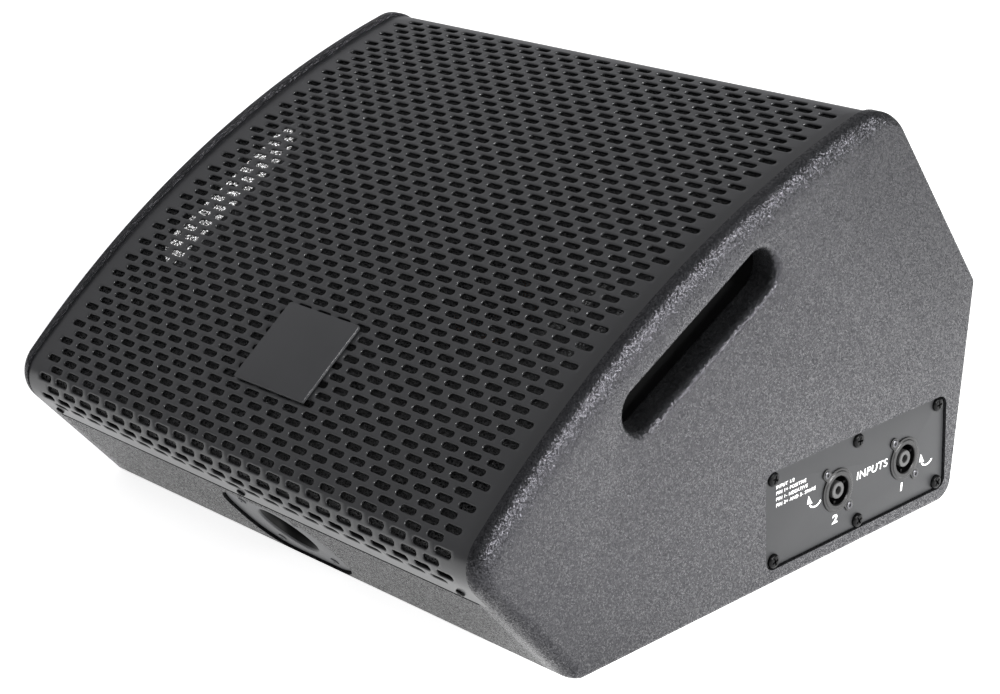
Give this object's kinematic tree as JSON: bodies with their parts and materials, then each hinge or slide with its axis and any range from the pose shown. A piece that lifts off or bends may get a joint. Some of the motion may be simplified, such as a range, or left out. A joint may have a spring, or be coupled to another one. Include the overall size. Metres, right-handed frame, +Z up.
{
  "type": "stage monitor wedge",
  "caption": "Wedge-shaped floor monitor speaker with a curved perforated grille, side hand slots, a low input plate and a front pole mount.",
  "frame": {"origin": "centre of the footprint, on the floor under the base panel", "axes": "+X across the cabinet to the side with the input plate, +Y from the grille to the back, +Z up"},
  "size_m": [0.402, 0.3822, 0.2435],
  "materials": {
    "cabinet_paint": "plywood under coarse textured black paint",
    "baffle_board": "board painted matte black",
    "grille_steel": "satin black powder coat",
    "foam": "open-cell acoustic foam",
    "badge": "blank satin plate",
    "black_fixings": "blackened steel",
    "plate_steel": "satin black powder coat",
    "socket_plastic": "black moulded plastic",
    "pole_steel": "satin black powder coat",
    "basket_steel": "black paint",
    "bare_steel": "zinc plated",
    "ferrite": "matte ferrite",
    "copper": "enamelled copper wire",
    "paper": "pressed paper",
    "surround_rubber": "matte",
    "spider_cloth": "impregnated cloth",
    "black_plastic": "moulded plastic",
    "alloy": "cast",
    "laminate": "glass-fibre laminate",
    "capacitor_film": "wrapped film",
    "cable_sheath": "matte sheath"
  },
  "bodies": {
    "cabinet": {"side_panel_left": "cabinet_paint", "side_panel_right": "cabinet_paint", "base_panel": "cabinet_paint", "back_panel": "cabinet_paint", "back_slope_panel": "cabinet_paint", "lower_front_panel": "cabinet_paint", "baffle": "baffle_board", "grille": "grille_steel", "grille_foam": "foam", "badge_plate": "badge", "grille_screw_1": "black_fixings", "grille_screw_2": "black_fixings", "grille_screw_3": "black_fixings", "grille_screw_4": "black_fixings", "grille_screw_5": "black_fixings", "input_plate": "plate_steel", "input_plate_screw_1": "black_fixings", "input_plate_screw_2": "black_fixings", "input_plate_screw_3": "black_fixings", "input_plate_screw_4": "black_fixings", "input_plate_screw_5": "black_fixings", "input_plate_screw_6": "black_fixings", "speaker_socket_1": "socket_plastic", "speaker_socket_2": "socket_plastic", "socket_rivet_1": "black_fixings", "socket_rivet_2": "black_fixings", "socket_rivet_3": "black_fixings", "socket_rivet_4": "black_fixings", "pole_cup": "pole_steel", "pole_cup_screw_1": "black_fixings", "pole_cup_screw_2": "black_fixings", "pole_cup_screw_3": "black_fixings", "pole_cup_screw_4": "black_fixings", "driver_basket": "basket_steel", "driver_top_plate": "bare_steel", "driver_magnet": "ferrite", "driver_back_plate": "bare_steel", "surround": "surround_rubber", "spider": "spider_cloth", "horn_flare": "black_plastic", "horn_driver": "alloy", "driver_screw_1": "black_fixings", "driver_screw_2": "black_fixings", "driver_screw_3": "black_fixings", "driver_screw_4": "black_fixings", "port_tube_1": "black_plastic", "port_tube_2": "black_plastic", "crossover_board": "laminate", "inductor_1": "copper", "inductor_2": "copper", "capacitor_1": "capacitor_film", "capacitor_2": "capacitor_film", "socket_cable": "cable_sheath", "woofer_cable": "cable_sheath", "horn_cable": "cable_sheath"},
    "cone_assembly": {"cone": "paper", "voice_coil": "copper"}
  },
  "joints": [
    {"name": "cone_slide", "type": "slide", "parent": "cabinet", "child": "cone_assembly", "axis": [0, -0.4652, 0.8852], "range_m": [-0.004, 0.004], "stiffness_N_per_m": 3000, "deforming": ["surround", "spider"]}
  ]
}
